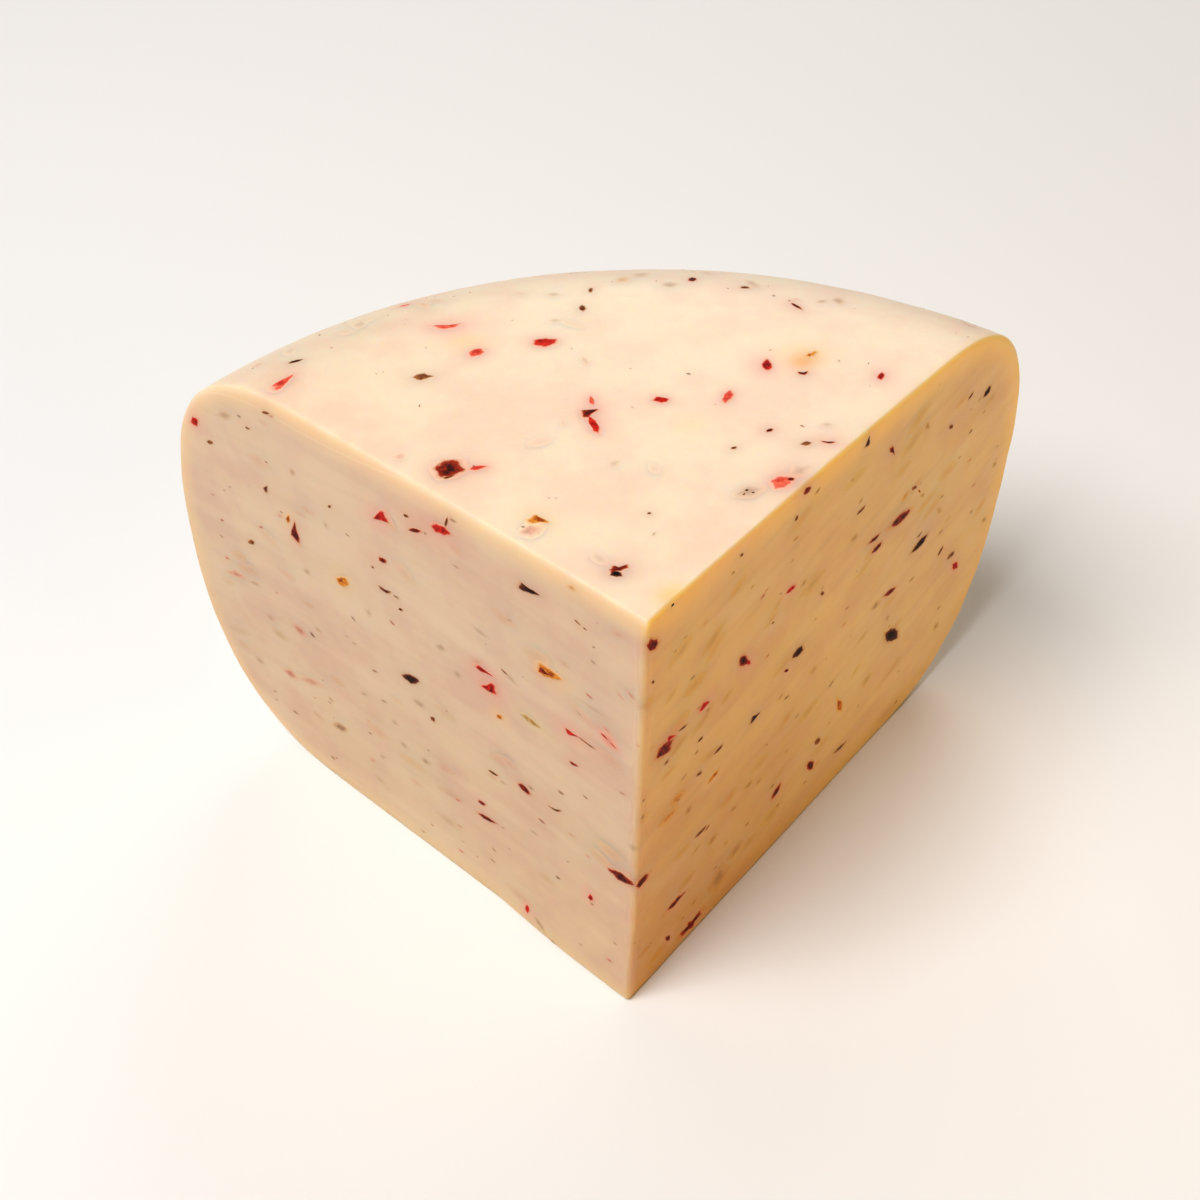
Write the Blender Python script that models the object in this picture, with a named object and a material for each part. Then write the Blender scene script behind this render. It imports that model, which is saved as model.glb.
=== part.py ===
"""A wedge cut from a round of pale semi-hard cheese with chilli flakes in its paste.

The round is a turned solid with a slightly crowned top, a flat foot and wide soft shoulders.
Two upright knife cuts meet near its middle and leave just under a quarter of it. The largest
flakes stand a little proud of the surface and are fused to it, so the wedge is one closed solid.
"""

import math
import random

import bmesh
import bpy
from mathutils import Matrix, Vector

# The round, in metres
HEIGHT = 0.100
RIM_RADIUS = 0.1206
FLAT_RADIUS = 0.0819
SHOULDER_POWER = 2.63  # 2 is an ellipse, and more is squarer
TOP_CROWN = 0.0021  # how much lower the top is at the flat radius than at the middle

# The two knife cuts
CUT_ANGLE = math.radians(44.0)  # each cut's angle to the wedge's middle line
TIP_OFF_CENTRE = 0.0049  # the cuts meet this far to the left of the round's middle
EDGE_ROUND = 0.0012
FOOT_SPREAD = 0.0010  # the soft foot of the tip has settled outwards on the left cut
FOOT_LENGTH = 0.034
FOOT_HEIGHT = 0.022
FOOT_LINES = (0.35, 0.7, 1.0)  # edge lines across the foot, as shares of its length and height

# How finely the round is faceted
TURN_STEPS = 132
SHOULDER_STEPS = 9
CROWN_STEPS = 4
SHARP = math.radians(35)  # only the knife's edges are sharper than this
WELD = 1e-5

# Flakes, in metres
PROUD = 0.00035
ROOT = 0.0008
TOP_OF_FLAKE = 0.70  # a flake's top face beside its foot
FLAKE_CORNERS = 7
RAGGED = 0.22
SEED = 7

# Flakes on the outer side, which the cells of a grid over it hold one each
RIM_SEED = 11
RIM_BEARINGS = 8
RIM_ROWS = 4
RIM_STRAY = 0.38  # how far a flake strays from the middle of its cell, as a share of the cell
RIM_CLEAR = math.radians(6.0)  # they keep this far from both cuts
RIM_TURNS = (math.radians(48.0), math.radians(148.0))  # from under the shoulder to above the foot
BELT = math.radians(7.0)  # and this far from where the round is widest
RIM_LENGTHS = (0.0028, 0.0056)
RIM_WIDTHS = (0.0016, 0.0026)
RIM_LEAN = 50

MM = 0.001

# Flakes that show on the left cut: along from the tip, up, length, width, rise towards the tip.
# All three lists are in millimetres and degrees.
LEFT_FLAKES = [
    (105.0, 79.0, 3.2, 2.0, 40),
    (82.3, 69.0, 5.2, 2.7, 80),
    (70.4, 63.8, 3.8, 2.2, 35),
    (58.3, 86.4, 4.8, 2.0, 45),
    (58.8, 69.0, 3.8, 1.7, 15),
    (49.6, 88.4, 3.6, 1.3, 25),
    (43.0, 92.6, 4.4, 2.0, 40),
    (23.5, 91.5, 5.2, 2.4, 10),
    (19.2, 75.4, 6.0, 3.2, 10),
    (34.8, 65.2, 4.2, 1.5, 0),
    (34.0, 61.4, 4.0, 2.4, 35),
    (24.2, 60.5, 4.6, 1.5, -5),
    (14.0, 64.4, 4.6, 1.5, 10),
    (54.2, 49.4, 5.8, 2.4, 20),
    (26.2, 41.0, 2.7, 1.9, -20),
    (18.8, 41.2, 3.2, 1.4, 15),
    (36.4, 23.8, 4.6, 1.6, 5),
    (85.5, 40.8, 4.0, 2.4, -20),
    (91.0, 24.5, 4.6, 2.2, 10),
    (77.0, 18.8, 4.4, 2.0, 25),
    (103.5, 44.5, 5.4, 1.6, 20),
    (10.5, 22.6, 2.4, 1.5, 80),
    (26.1, 5.4, 2.6, 1.4, 80),
    (5.2, 35.0, 4.4, 2.2, -12),
]

# The same for the right cut, with the rise away from the tip
RIGHT_FLAKES = [
    (4.6, 94.0, 3.8, 2.2, -40),
    (60.9, 95.6, 2.8, 1.9, 80),
    (70.7, 87.8, 3.2, 1.4, -60),
    (104.8, 79.8, 2.6, 2.1, 10),
    (41.2, 76.3, 2.8, 1.4, -10),
    (62.2, 79.9, 2.6, 1.4, 10),
    (6.6, 66.6, 4.8, 3.4, -15),
    (17.5, 67.6, 3.0, 2.1, -20),
    (28.8, 69.0, 4.6, 2.2, -50),
    (46.6, 56.8, 4.4, 3.6, -15),
    (34.2, 50.1, 3.0, 1.9, -5),
    (69.0, 68.4, 2.9, 1.7, -20),
    (70.8, 64.8, 3.6, 1.7, -5),
    (78.4, 66.8, 7.2, 2.6, -8),
    (89.3, 52.8, 6.2, 2.4, 8),
    (79.8, 46.8, 4.8, 1.8, -15),
    (104.8, 38.3, 3.2, 1.9, 25),
    (108.3, 32.9, 3.8, 1.9, -40),
    (83.6, 31.8, 8.2, 3.4, -45),
    (9.5, 46.0, 4.0, 1.8, 0),
    (21.9, 44.6, 3.2, 1.8, 10),
    (19.5, 31.2, 4.2, 1.6, -5),
    (4.4, 34.8, 3.8, 2.4, 10),
    (13.0, 16.8, 5.4, 2.0, 0),
    (19.0, 4.4, 6.2, 3.6, 10),
    (45.3, 18.3, 3.6, 3.2, 20),
    (57.5, 15.0, 5.0, 2.4, -60),
    (66.0, 25.6, 6.0, 2.2, -65),
    (69.2, 9.6, 5.0, 1.9, 0),
]

# Flakes on the top: across and back from the tip, length, width, turn from the across direction
TOP_FLAKES = [
    (-3.9, 51.6, 2.8, 2.4, 30),
    (-4.0, 48.0, 4.6, 1.7, 95),
    (-27.6, 80.2, 5.2, 2.8, -5),
    (-10.5, 73.2, 3.8, 2.6, 5),
    (-22.5, 71.2, 2.7, 2.2, 30),
    (-55.6, 66.8, 5.2, 2.4, 50),
    (-54.3, 73.5, 2.8, 1.4, 10),
    (-32.0, 64.8, 3.4, 2.0, 0),
    (18.7, 94.2, 2.5, 1.6, 70),
    (36.3, 82.4, 2.8, 1.3, -70),
    (8.3, 54.6, 2.7, 1.8, -10),
    (19.7, 54.7, 3.2, 1.7, 70),
    (27.8, 63.4, 3.4, 1.7, 85),
    (34.2, 63.8, 4.8, 4.0, 30),
    (-28.0, 38.9, 4.6, 4.0, 40),
    (-23.0, 38.8, 3.0, 1.4, 5),
    (-14.2, 24.7, 3.4, 2.8, -40),
    (-3.0, 12.3, 3.2, 2.4, 60),
    (25.0, 31.2, 3.6, 2.6, 30),
    (34.3, 41.0, 2.8, 1.2, -10),
]


def clear_scene():
    for obj in list(bpy.data.objects):
        bpy.data.objects.remove(obj, do_unlink=True)


def crown_fall(radius):
    """How far the crowned top has fallen below the round's full height."""
    return TOP_CROWN * (radius / FLAT_RADIUS) ** 2


def shoulder_point(turn):
    """Radius, height and outward direction on the shoulder, for a turn of 0 at the top to 180
    degrees at the foot. Each half is a quarter of a superellipse from the flat radius to the
    rim, and the upper one hangs from the crown, which runs on under it."""
    upper = turn < math.pi / 2
    across = RIM_RADIUS - FLAT_RADIUS
    c = abs(math.sin(turn)) ** (2 / SHOULDER_POWER)
    w = abs(math.cos(turn)) ** (2 / SHOULDER_POWER)
    radius = FLAT_RADIUS + across * c
    power = SHOULDER_POWER - 1
    if upper:
        drop = HEIGHT / 2 - crown_fall(RIM_RADIUS)
        height = HEIGHT - crown_fall(radius) - drop * (1 - w)
        slope = 2 * crown_fall(radius) / radius
        out = Vector((slope * w**power + drop / across * c**power, 0.0, w**power))
    else:
        drop = HEIGHT / 2
        height = drop * (1 - w)
        out = Vector((drop / across * c**power, 0.0, -(w**power)))
    return radius, height, out.normalized()


def round_profile():
    """Radius and height of the round's half section, from the middle of its top to its foot."""
    crown = [FLAT_RADIUS * i / CROWN_STEPS for i in range(CROWN_STEPS)]
    points = [(r, HEIGHT - crown_fall(r)) for r in crown]
    for i in range(2 * SHOULDER_STEPS + 1):
        radius, height, _ = shoulder_point(math.pi / 2 * i / SHOULDER_STEPS)
        points.append((radius, height))
    return points + [(0.0, 0.0)]


def turn_round():
    """The whole round, turned about the upright through its middle."""
    bm = bmesh.new()
    verts = [bm.verts.new((TIP_OFF_CENTRE + r, 0.0, z)) for r, z in round_profile()]
    edges = [bm.edges.new(pair) for pair in zip(verts, verts[1:])]
    middle = Vector((TIP_OFF_CENTRE, 0.0, 0.0))
    bmesh.ops.spin(
        bm, geom=verts + edges, cent=middle, axis=(0, 0, 1), dvec=(0, 0, 0),
        angle=2 * math.pi, steps=TURN_STEPS, use_merge=True,
    )
    bmesh.ops.remove_doubles(bm, verts=bm.verts, dist=WELD)
    bmesh.ops.recalc_face_normals(bm, faces=bm.faces)
    return bm


def cut_direction(side):
    """Level direction along a cut from the tip outwards; side is -1 for left and 1 for right."""
    return Vector((side * math.sin(CUT_ANGLE), math.cos(CUT_ANGLE), 0.0))


def cut_normal(side):
    """Level direction out of the cheese at a cut."""
    along = cut_direction(side)
    return Vector((side * along.y, -side * along.x, 0.0))


def slice_plane(bm, point, normal, remove):
    """One stroke of the knife: an edge line round the solid, with what lies outside taken away."""
    result = bmesh.ops.bisect_plane(
        bm, geom=bm.verts[:] + bm.edges[:] + bm.faces[:], dist=WELD / 10,
        plane_co=point, plane_no=normal, clear_outer=remove,
    )
    if remove:
        rim = [e for e in result["geom_cut"] if isinstance(e, bmesh.types.BMEdge)]
        bmesh.ops.edgeloop_fill(bm, edges=rim)


def spread_foot(bm):
    """Push the foot of the tip out on the left cut, fading upwards and away from the tip."""
    across = cut_normal(-1)
    along = cut_direction(-1)
    for vert in bm.verts:
        reach = vert.co.dot(along) / FOOT_LENGTH
        lift = vert.co.z / FOOT_HEIGHT
        if abs(vert.co.dot(across)) < WELD and reach < 1 and lift < 1:
            vert.co += across * FOOT_SPREAD * (1 - reach**2) * (1 - lift**2)


def cut_wedge():
    """The round with both cuts made and the tip's foot settled."""
    bm = turn_round()
    for side in (-1, 1):
        slice_plane(bm, (0, 0, 0), cut_normal(side), True)
    for share in FOOT_LINES:
        slice_plane(bm, (0, 0, FOOT_HEIGHT * share), (0, 0, 1), False)
        slice_plane(bm, cut_direction(-1) * FOOT_LENGTH * share, cut_direction(-1), False)
    spread_foot(bm)
    bmesh.ops.recalc_face_normals(bm, faces=bm.faces)
    return bm


def new_object(name, bm):
    mesh = bpy.data.meshes.new(name)
    bm.to_mesh(mesh)
    bm.free()
    obj = bpy.data.objects.new(name, mesh)
    bpy.context.scene.collection.objects.link(obj)
    return obj


def apply_modifiers(obj):
    """Give the object the mesh that its modifiers make, and take the modifiers off."""
    bpy.context.view_layer.update()
    graph = bpy.context.evaluated_depsgraph_get()
    mesh = bpy.data.meshes.new_from_object(obj.evaluated_get(graph), depsgraph=graph)
    obj.modifiers.clear()
    obj.data = mesh


def soften_edges(obj):
    """Round the knife's edges, which are the only sharp ones."""
    bevel = obj.modifiers.new("soft cut edges", "BEVEL")
    bevel.width = EDGE_ROUND
    bevel.segments = 2
    bevel.limit_method = "ANGLE"
    bevel.angle_limit = SHARP
    apply_modifiers(obj)


def frame_at(point, across, out):
    """Matrix whose X runs along the surface, Z points out of it and origin lies on it."""
    x = (across - out * across.dot(out)).normalized()
    y = out.cross(x)
    return Matrix.Translation(point) @ Matrix((x, y, out)).transposed().to_4x4()


def cut_frame(side, along, up):
    """Frame on a cut; its X runs level, left to right as one looks at the cut."""
    point = cut_direction(side) * along + Vector((0, 0, up))
    return frame_at(point, cut_direction(side) * side, cut_normal(side))


def top_frame(across, back):
    """Frame on the crowned top, lying at its height there."""
    radius = math.hypot(across - TIP_OFF_CENTRE, back)
    middle = Vector((TIP_OFF_CENTRE, 0, 0))
    if radius < FLAT_RADIUS:
        point = Vector((across, back, HEIGHT - crown_fall(radius)))
        return frame_at(point, Vector((1, 0, 0)), Vector((0, 0, 1)))
    turn = math.asin(((radius - FLAT_RADIUS) / (RIM_RADIUS - FLAT_RADIUS)) ** (SHOULDER_POWER / 2))
    bearing = math.atan2(across - middle.x, back)
    return rim_frame(bearing, turn)


def rim_frame(bearing, turn):
    """Frame on the shoulder; bearing is from the middle line and turn from the top."""
    radius, height, out = shoulder_point(turn)
    around = Matrix.Rotation(math.pi / 2 - bearing, 3, "Z")
    point = around @ Vector((radius, 0, height)) + Vector((TIP_OFF_CENTRE, 0, 0))
    return frame_at(point, around @ Vector((0, -1, 0)), around @ out)


def flake(frame, length, width, lean, draw):
    """A ragged seven-sided plate, sunk in the surface, whose top face is smaller than its foot."""
    bm = bmesh.new()
    turn = Matrix.Rotation(math.radians(lean), 4, "Z")
    foot = []
    top = []
    for i in range(FLAKE_CORNERS):
        angle = 2 * math.pi * i / FLAKE_CORNERS
        size = draw.uniform(1 - RAGGED, 1.0)
        x = size * length / 2 * math.cos(angle)
        y = size * width / 2 * math.sin(angle)
        foot.append(bm.verts.new(frame @ turn @ Vector((x, y, -ROOT))))
        small = Vector((x * TOP_OF_FLAKE, y * TOP_OF_FLAKE, PROUD))
        top.append(bm.verts.new(frame @ turn @ small))
    bm.faces.new(foot[::-1])
    bm.faces.new(top)
    for i in range(FLAKE_CORNERS):
        j = (i + 1) % FLAKE_CORNERS
        bm.faces.new((foot[i], foot[j], top[j], top[i]))
    return new_object("flake", bm)


def rim_flakes():
    """Frame, length, width and lean of each flake on the outer side."""
    draw = random.Random(RIM_SEED)
    reach = CUT_ANGLE - RIM_CLEAR
    first, last = RIM_TURNS
    for row in range(RIM_ROWS):
        for column in range(RIM_BEARINGS):
            across = column + 0.5 + draw.uniform(-RIM_STRAY, RIM_STRAY)
            down = row + 0.5 + draw.uniform(-RIM_STRAY, RIM_STRAY)
            bearing = reach * (2 * across / RIM_BEARINGS - 1)
            turn = first + (last - first) * down / RIM_ROWS
            length = draw.uniform(*RIM_LENGTHS)
            width = draw.uniform(*RIM_WIDTHS)
            lean = draw.uniform(-RIM_LEAN, RIM_LEAN)
            if abs(turn - math.pi / 2) > BELT:
                yield rim_frame(bearing, turn), length, width, lean


def make_flakes():
    """All flakes of the wedge, in a collection of their own."""
    draw = random.Random(SEED)
    made = []
    for side, rows in ((-1, LEFT_FLAKES), (1, RIGHT_FLAKES)):
        for along, up, length, width, lean in rows:
            frame = cut_frame(side, along * MM, up * MM)
            made.append(flake(frame, length * MM, width * MM, lean, draw))
    for across, back, length, width, lean in TOP_FLAKES:
        frame = top_frame(across * MM, back * MM)
        made.append(flake(frame, length * MM, width * MM, lean, draw))
    for frame, length, width, lean in rim_flakes():
        made.append(flake(frame, length, width, lean, draw))
    group = bpy.data.collections.new("flakes")
    bpy.context.scene.collection.children.link(group)
    for obj in made:
        bpy.context.scene.collection.objects.unlink(obj)
        group.objects.link(obj)
    return group


def fuse(body, group):
    """Join the flakes to the wedge as one solid, and take the loose ones away."""
    union = body.modifiers.new("fused flakes", "BOOLEAN")
    union.operation = "UNION"
    union.operand_type = "COLLECTION"
    union.collection = group
    union.solver = "EXACT"
    apply_modifiers(body)
    for obj in list(group.objects):
        bpy.data.objects.remove(obj, do_unlink=True)
    bpy.data.collections.remove(group)


def stand_on_origin(obj):
    """Move the mesh so that the middle of the foot of its box is the origin."""
    points = [v.co for v in obj.data.vertices]
    low = Vector([min(p[i] for p in points) for i in range(3)])
    high = Vector([max(p[i] for p in points) for i in range(3)])
    foot = Vector(((low.x + high.x) / 2, (low.y + high.y) / 2, low.z))
    obj.data.transform(Matrix.Translation(-foot))


def cheese_material():
    """Pale cream paste, waxy and slightly glossy."""
    material = bpy.data.materials.new("cheese")
    material.use_nodes = True
    shader = material.node_tree.nodes["Principled BSDF"]
    shader.inputs["Base Color"].default_value = (0.83, 0.60, 0.38, 1.0)
    shader.inputs["Roughness"].default_value = 0.45
    shader.inputs["Metallic"].default_value = 0.0
    return material


def build():
    clear_scene()
    wedge = new_object("cheese_wedge", cut_wedge())
    soften_edges(wedge)
    fuse(wedge, make_flakes())
    stand_on_origin(wedge)
    wedge.data.materials.clear()
    wedge.data.materials.append(cheese_material())
    wedge.data.shade_smooth()
    wedge.data.set_sharp_from_angle(angle=SHARP)


build()
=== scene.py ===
"""Looks of a wedge cut from a round of pale semi-hard cheese with chilli flakes in its paste.

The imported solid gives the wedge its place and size. Here it gets its smooth skin and its paste,
and each flake and speck in it is a thin chip of its own. Lengths are in metres and directions in
radians, unless a name or a comment says otherwise. All shapes are worked out with the sharp
corner where the two cuts meet the board at x = y = z = 0 and are moved into place at the end.
"""

import math
import random

import bmesh
import bpy
import numpy as np
from mathutils import Matrix, Vector


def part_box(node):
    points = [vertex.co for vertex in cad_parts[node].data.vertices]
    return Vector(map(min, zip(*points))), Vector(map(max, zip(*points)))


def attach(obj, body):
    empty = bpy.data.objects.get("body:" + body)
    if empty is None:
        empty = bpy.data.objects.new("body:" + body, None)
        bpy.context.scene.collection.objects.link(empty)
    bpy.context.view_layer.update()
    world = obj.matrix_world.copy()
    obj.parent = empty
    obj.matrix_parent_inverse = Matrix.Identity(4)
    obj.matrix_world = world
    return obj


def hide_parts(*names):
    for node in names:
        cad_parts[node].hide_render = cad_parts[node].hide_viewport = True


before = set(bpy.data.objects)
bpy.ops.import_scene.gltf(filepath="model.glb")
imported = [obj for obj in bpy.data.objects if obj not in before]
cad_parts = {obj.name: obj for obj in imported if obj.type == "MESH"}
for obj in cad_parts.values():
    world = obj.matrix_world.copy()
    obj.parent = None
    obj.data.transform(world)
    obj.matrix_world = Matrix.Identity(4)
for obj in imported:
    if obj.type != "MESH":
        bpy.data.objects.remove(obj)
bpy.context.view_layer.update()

MM = 0.001

# The round, turned about an upright through its middle
HEIGHT = 0.100
RIM_RADIUS = 0.1206
FLAT_RADIUS = 0.0819
SHOULDER_POWER = 2.63  # 2 is an ellipse, and more is squarer
TOP_CROWN = 0.0021  # how much lower the top is at the flat radius than at the middle
SHOULDER_WIDTH = RIM_RADIUS - FLAT_RADIUS
UPPER_DROP = HEIGHT / 2 - TOP_CROWN * (RIM_RADIUS / FLAT_RADIUS) ** 2  # flat's level to the rim

# The two knife cuts, and how round the knife and the handling left their edges
CUT_ANGLE = math.radians(44.0)  # each cut's angle to the wedge's middle line
TIP_OFF_CENTRE = 0.0049  # the cuts meet this far to the left of the round's middle
ROUNDS = (0.0012, 0.0009)  # radius on the left and on the right cut's edges
FALLS = (0.0032, 0.0013)  # the handled top edges are rounded further down the cut than across
LEFT_ALONG = np.array([-math.sin(CUT_ANGLE), math.cos(CUT_ANGLE), 0.0])
RIGHT_ALONG = np.array([math.sin(CUT_ANGLE), math.cos(CUT_ANGLE), 0.0])
LEFT_OUT = np.array([-math.cos(CUT_ANGLE), -math.sin(CUT_ANGLE), 0.0])
RIGHT_OUT = np.array([math.cos(CUT_ANGLE), -math.sin(CUT_ANGLE), 0.0])
TIP_TURN = math.pi / 2 - CUT_ANGLE  # from straight ahead to either cut's outward direction
MIDDLE = np.array([TIP_OFF_CENTRE, 0.0])
INNER_TIP = np.array([  # middle of the tip's rounding, where the cuts' inset lines cross
    (ROUNDS[0] - ROUNDS[1]) / (2 * math.cos(CUT_ANGLE)),
    (ROUNDS[0] + ROUNDS[1]) / (2 * math.sin(CUT_ANGLE)),
])

# The soft foot of the tip has settled outwards on the left cut
FOOT_SPREAD = 0.0010
FOOT_LENGTH = 0.034
FOOT_HEIGHT = 0.022
FOOT_DEPTH = 0.008

# Fineness of the skin
ARC_STEPS = 124
WALL_STEPS = 100
EDGE_STEPS = 5
TIP_STEPS = 5
INNER_RINGS = 11
INNER_RADIUS = 0.012
FLAT_RINGS = 66
SHOULDER_RINGS = 64
SHOULDER_SAMPLES = 4000
SIDE_STEPS = 400  # steps of the shoulder's table of lengths, where chips lie on the side
RIM_ROUNDS = 5  # rounds in which the skin's radius and crown settle together
WELD = 2e-6

# Low relief of skin and cuts
SUNK = 0.00028  # keeps the uneven skin inside the even one
SKIN_WAVES = ((0.045, 0.00012, 3), (0.013, 0.00004, 4))  # length, height and seed of each
FOOT_FADE = (-0.95, -0.6)  # upward shares of a way out between which the relief comes in

# Chips of chilli, pepper and herb
CHIP_PROUD = 0.00010
CHIP_DIP = 1.08  # a chip's outer ring ends this much lower than its middle, in times its height
CHIP_ROOT = 0.00030  # how deep in the paste a chip's underside comes to its point
CHIP_CREASE = math.radians(60)  # a chip's faces that meet at more than this stay sharp
CORNER_STRAY = 0.20  # how far a chip's corners stray from its outline's, as a share
CHIP_EDGE = 0.62  # a chip fills this share of its patch, and the rest is the paste that it stains
HALO_REACH = 0.0013  # how far the wide stain runs past a chip
HALO_DEPTH = 0.0030  # how deep a stain has faded to about a third
STAIN_FALL = 0.9  # how fast a stain fades from its middle
TEAR_DEPTH = 0.56  # how far the tears eat into a flake's edge, as a share of its patch


def way(bearing):
    """Level unit vectors at bearings from the wedge's middle line."""
    return np.stack([np.sin(bearing), np.cos(bearing)], -1)


def unit(vectors):
    return vectors / np.linalg.norm(vectors, axis=-1, keepdims=True)


def reach(radius, bearing):
    """Distance from the inner tip to a circle about the round's middle, along a level bearing:
    the far root of the quadratic that the circle and the line share."""
    away = MIDDLE - INNER_TIP
    forward = way(bearing) @ away
    return forward + np.sqrt(forward**2 - away @ away + radius**2)


def shoulder_shares(turn):
    """Shares of the shoulder's width and height on a superellipse, for a turn of 0 at the flat
    to a right angle at the rim: sine and cosine, each raised to two over the power."""
    return np.sin(turn) ** (2 / SHOULDER_POWER), np.cos(turn) ** (2 / SHOULDER_POWER)


def shoulder_turns(count):
    """Turns that part the upper shoulder into equal lengths, and the lengths from the flat."""
    fine = np.linspace(0, math.pi / 2, SHOULDER_SAMPLES)
    wide, high = shoulder_shares(fine)
    step = np.hypot(np.diff(wide) * SHOULDER_WIDTH, np.diff(high) * HEIGHT / 2)
    length = np.concatenate([[0], np.cumsum(step)])
    even = np.linspace(0, length[-1], count + 1)
    return np.interp(even, length, fine), even


def skin(plan, wide, high, upper):
    """Points and outward directions on the round's skin over or under plan points. The crown
    falls with the square of the radius, and the shoulder's drop hangs from it."""
    away = plan - MIDDLE
    radius = np.linalg.norm(away, axis=-1)
    power = SHOULDER_POWER - 1
    side, level, tall, crown = (1, HEIGHT, UPPER_DROP, TOP_CROWN) if upper else (
        -1, 0, HEIGHT / 2, 0)
    up = level - crown * (radius / FLAT_RADIUS) ** 2 - side * tall * (1 - high)
    lean = 2 * crown * radius / FLAT_RADIUS**2 * high**power
    lean = lean + tall / SHOULDER_WIDTH * wide**power
    rise = side * high**power + 0 * radius
    outward = away / np.maximum(radius, 1e-9)[..., None]
    points = np.concatenate([plan, up[..., None]], -1)
    return points, unit(np.concatenate([outward * lean[..., None], rise[..., None]], -1))


def edge_strip(top, top_way, foot, foot_way, out, inset, fall):
    """Down a cut from one skin to the other: the top edge's rounding, the flat cut, and the
    foot edge's rounding. Each rounding is a quarter of an ellipse, as wide as the skin's
    inset and as tall as the edge's fall, and the cut runs straight between their ends."""
    turn = np.linspace(0, math.pi / 2, EDGE_STEPS + 1)[1:, None, None]

    def quarter(points, ways, tall):
        flat = unit(ways - (ways * out).sum(-1, keepdims=True) * out)
        points = points - flat * tall * (1 - np.cos(turn)) + out * inset * np.sin(turn)
        return points, unit(flat * inset * np.cos(turn) + out * tall * np.sin(turn))

    upper, upper_way = quarter(top, top_way, fall)
    lower, lower_way = quarter(foot, foot_way, inset)
    share = np.linspace(0, 1, WALL_STEPS + 1)[1:-1, None, None]
    wall = upper[-1:] * (1 - share) + lower[-1:] * share
    wall_way = np.broadcast_to(out, wall.shape)
    points = np.concatenate([upper, wall, lower[::-1]])
    ways = np.concatenate([upper_way, wall_way, lower_way[::-1]])
    return points.swapaxes(0, 1), ways.swapaxes(0, 1)


def round_tip(turn, left, right):
    """A measure of the edges, which changes evenly from the left cut's to the right cut's as
    the outward direction turns round the tip."""
    share = (turn / TIP_TURN + 1) / 2
    return left * (1 - share) + right * share


def strip_edges(side, high):
    """Outward direction, inset and top fall of each ring's strip. They turn from straight
    ahead to the cut's own direction round the tip, and then stay, but the fall shrinks to the
    inset with the shoulder's height, so that both skins' strips meet at the rim line."""
    turn = np.full(len(high), side * TIP_TURN)
    turn[:TIP_STEPS] = side * TIP_TURN * np.arange(TIP_STEPS) / TIP_STEPS
    out = np.stack([np.sin(turn), -np.cos(turn), 0 * turn], -1)
    inset = round_tip(turn, *ROUNDS)[:, None]
    return out, inset, inset + (round_tip(turn, *FALLS)[:, None] - inset) * high


def wedge_grid():
    """The whole skin as closed rings, nested from the tip to the rim. Each ring runs over the
    top, down the right cut, back under the foot and up the left cut. The first rings turn
    round the upright edge of the tip, and the last one is the rim line."""
    bearing = np.linspace(-CUT_ANGLE, CUT_ANGLE, ARC_STEPS + 1)
    flat_radius = np.linspace(INNER_RADIUS, FLAT_RADIUS, FLAT_RINGS + 1)[:, None]
    turn, _ = shoulder_turns(SHOULDER_RINGS)
    wide, high = shoulder_shares(turn[1:, None])
    inner = np.linspace(0, 1, INNER_RINGS + 1)[:-1, None] * reach(INNER_RADIUS, bearing)
    along = np.concatenate([
        np.zeros((TIP_STEPS, ARC_STEPS + 1)),
        inner,
        reach(flat_radius, bearing),
        reach(FLAT_RADIUS + SHOULDER_WIDTH * wide, bearing),
    ])
    level = len(along) - SHOULDER_RINGS
    wide = np.concatenate([np.zeros((level, 1)), wide])
    high = np.concatenate([np.ones((level, 1)), high])
    plan = INNER_TIP + along[..., None] * way(bearing)
    top, top_way = skin(plan, wide, high, True)
    foot, foot_way = skin(plan, wide, high, False)
    strips = []
    for side, column in ((1, -1), (-1, 0)):
        ends = [grid[:, column] for grid in (top, top_way, foot, foot_way)]
        strips.append(edge_strip(*ends, *strip_edges(side, high)))
    (right, right_way), (left, left_way) = strips
    points = np.concatenate([top, right, foot[:, ::-1], left[:, ::-1]], 1)
    ways = np.concatenate([top_way, right_way, foot_way[:, ::-1], left_way[:, ::-1]], 1)
    return points, ways


def waves(points, size, seed, count=12):
    """Smooth unevenness of about one: a sum of sine waves in random directions, each about as
    long as the size."""
    draw = np.random.default_rng(seed)
    ways = unit(draw.normal(size=(count, 3))).T
    length = size * draw.uniform(0.7, 1.5, count)
    start = draw.uniform(0, 2 * math.pi, count)
    return np.sin(points @ (ways * 2 * math.pi / length) + start).sum(-1) / math.sqrt(count)


def ease(value, low, high):
    """Smooth step from 0 at low to 1 at high."""
    share = np.clip((value - low) / (high - low), 0, 1)
    return share * share * (3 - 2 * share)


def settle(points, ways):
    """Give even skin its low relief and spread the tip's foot. The relief is a long and a
    short wave along the outward direction, and fades out underneath, where the wedge lies
    flat. The foot's spread falls with the square of the share of its length and height."""
    relief = sum(tall * waves(points, long, seed) for long, tall, seed in SKIN_WAVES) - SUNK
    relief = relief * ease(ways[..., 2], *FOOT_FADE)
    along = np.clip(points @ LEFT_ALONG / FOOT_LENGTH, -1, 1)
    lift = np.clip(points[..., 2] / FOOT_HEIGHT, 0, 1)
    depth = points @ LEFT_OUT / FOOT_DEPTH
    spread = FOOT_SPREAD * (1 - along**2) * (1 - lift**2) * np.exp(-(depth**2))
    return points + ways * relief[..., None] + LEFT_OUT * spread[..., None]


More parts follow.
